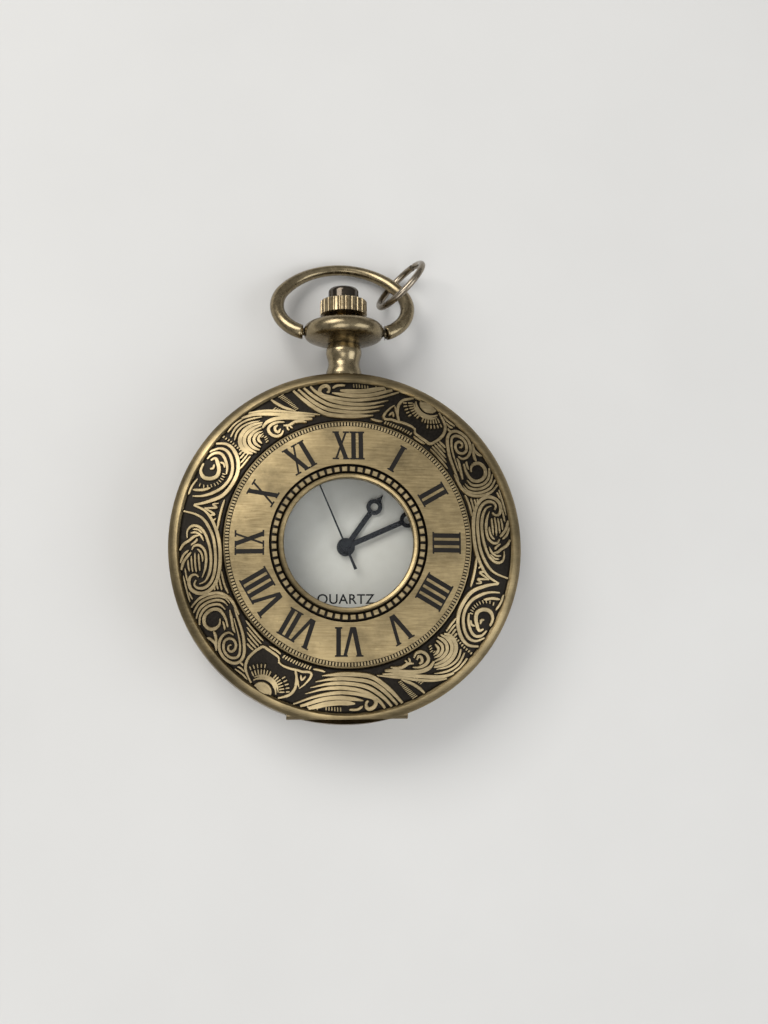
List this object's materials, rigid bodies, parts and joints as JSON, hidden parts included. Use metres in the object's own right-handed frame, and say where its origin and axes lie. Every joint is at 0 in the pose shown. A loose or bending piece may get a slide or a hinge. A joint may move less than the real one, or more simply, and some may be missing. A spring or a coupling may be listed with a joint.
{
  "type": "pocket watch",
  "caption": "Round half-hunter pocket watch with a hinged windowed front cover, crown-released latch, quartz movement, bow and jump ring.",
  "frame": {"origin": "on the dial axis, in the flat of the back on which the watch rests", "axes": "+X to 3 o'clock, +Y to 12 o'clock and the crown, +Z out of the dial"},
  "size_m": [0.046, 0.0635, 0.0139],
  "materials": {
    "antique_brass": "brushed, patinated",
    "aged_bronze": "satin, patinated",
    "crown_bronze": "knurled, worn",
    "dark_gloss_metal": "polished",
    "ring_steel": "polished",
    "clear_glass": "polished",
    "dial_enamel": "satin off-white",
    "black_hands": "gloss black",
    "black_plastic": "matte",
    "gasket_rubber": "matte",
    "movement_brass": "satin",
    "steel": "satin",
    "magnet": "sintered",
    "copper_wire": "enamelled wire",
    "board_green": "lacquered",
    "chip_black": "moulded"
  },
  "bodies": {
    "case": {"case_middle": "aged_bronze", "case_back": "antique_brass", "back_gasket": "gasket_rubber", "hinge_pin": "aged_bronze", "pendant": "aged_bronze", "bezel": "antique_brass", "dial_glass": "clear_glass", "dial": "dial_enamel", "movement_holder": "black_plastic", "main_plate": "movement_brass", "train_bridge": "movement_brass", "movement_screws": "steel", "stator": "steel", "coil_core": "steel", "coil_winding": "copper_wire", "circuit_board": "board_green", "quartz_oscillator": "steel", "timing_chip": "chip_black", "battery": "steel", "battery_clamp": "steel", "catch_spring": "steel", "release_spring": "steel"},
    "cover": {"front_cover": "antique_brass", "window_glass": "clear_glass", "window_retainer": "antique_brass"},
    "press": {"press_sleeve": "steel"},
    "catch": {"latch_catch": "steel"},
    "stem_slide": {"setting_lever": "steel"},
    "crown": {"winding_stem": "steel", "sliding_pinion": "movement_brass", "crown": "crown_bronze", "crown_cap": "dark_gloss_metal"},
    "bow": {"bow": "aged_bronze"},
    "jump_ring": {"jump_ring": "ring_steel"},
    "minute": {"centre_wheel": "movement_brass", "minute_hand": "black_hands"},
    "hour": {"hour_wheel": "movement_brass", "hour_hand": "black_hands"},
    "second": {"seconds_wheel": "movement_brass", "second_hand": "black_hands"},
    "third": {"third_wheel": "movement_brass"},
    "fifth": {"fifth_wheel": "movement_brass"},
    "rotor": {"rotor_magnet": "magnet", "rotor_pinion": "movement_brass"},
    "minute_work": {"minute_wheel": "movement_brass"}
  },
  "joints": [
    {"name": "cover_hinge", "type": "hinge", "parent": "case", "child": "cover", "pos_m": [0, -0.02145, 0.00905], "axis": [1, 0, 0], "range_deg": [0, 100]},
    {"name": "crown_press", "type": "slide", "parent": "case", "child": "press", "axis": [0, -1, 0], "range_m": [0, 0.0006], "stiffness_N_per_m": 600, "deforming": ["release_spring"]},
    {"name": "catch_slide", "type": "slide", "parent": "case", "child": "catch", "axis": [0, -1, 0], "range_m": [0, 0.0006], "deforming": ["catch_spring"]},
    {"name": "crown_pull", "type": "slide", "parent": "press", "child": "stem_slide", "axis": [0, 1, 0], "range_m": [0, 0.001]},
    {"name": "crown_turn", "type": "hinge", "parent": "stem_slide", "child": "crown", "pos_m": [0, 0.0345, 0.006], "axis": [0, 1, 0], "continuous": true},
    {"name": "bow_swing", "type": "hinge", "parent": "case", "child": "bow", "pos_m": [0, 0.0294, 0.006], "axis": [1, 0, 0], "range_deg": [-108, 148]},
    {"name": "ring_swing", "type": "hinge", "parent": "bow", "child": "jump_ring", "pos_m": [0.00729, 0.03693, 0.00223], "axis": [-0.6785, 0.6567, -0.3293], "range_deg": [-14, 40]},
    {"name": "minute_turn", "type": "hinge", "parent": "case", "child": "minute", "pos_m": [0, 0, 0.008], "axis": [0, 0, -1], "continuous": true},
    {"name": "hour_turn", "type": "hinge", "parent": "case", "child": "hour", "pos_m": [0, 0, 0.006], "axis": [0, 0, -1], "continuous": true},
    {"name": "second_turn", "type": "hinge", "parent": "case", "child": "second", "pos_m": [0, 0, 0.006], "axis": [0, 0, -1], "continuous": true},
    {"name": "minute_wheel_turn", "type": "hinge", "parent": "case", "child": "minute_work", "pos_m": [0.0012, 0.00208, 0.006], "axis": [0, 0, -1], "continuous": true},
    {"name": "third_turn", "type": "hinge", "parent": "case", "child": "third", "pos_m": [-0.00265, -0.00153, 0.006], "axis": [0, 0, -1], "continuous": true},
    {"name": "fifth_turn", "type": "hinge", "parent": "case", "child": "fifth", "pos_m": [0.00268, -0.00155, 0.006], "axis": [0, 0, -1], "continuous": true},
    {"name": "rotor_turn", "type": "hinge", "parent": "case", "child": "rotor", "pos_m": [0.00501, -0.0007, 0.006], "axis": [0, 0, -1], "continuous": true}
  ],
  "couplings": [
    {"joint": "catch_slide", "follows": "crown_press", "ratio": 1},
    {"joint": "hour_turn", "follows": "minute_turn", "ratio": 0.083333},
    {"joint": "second_turn", "follows": "minute_turn", "ratio": 60},
    {"joint": "minute_wheel_turn", "follows": "minute_turn", "ratio": -0.33333},
    {"joint": "third_turn", "follows": "minute_turn", "ratio": -8},
    {"joint": "fifth_turn", "follows": "minute_turn", "ratio": -180},
    {"joint": "rotor_turn", "follows": "minute_turn", "ratio": 1800}
  ]
}
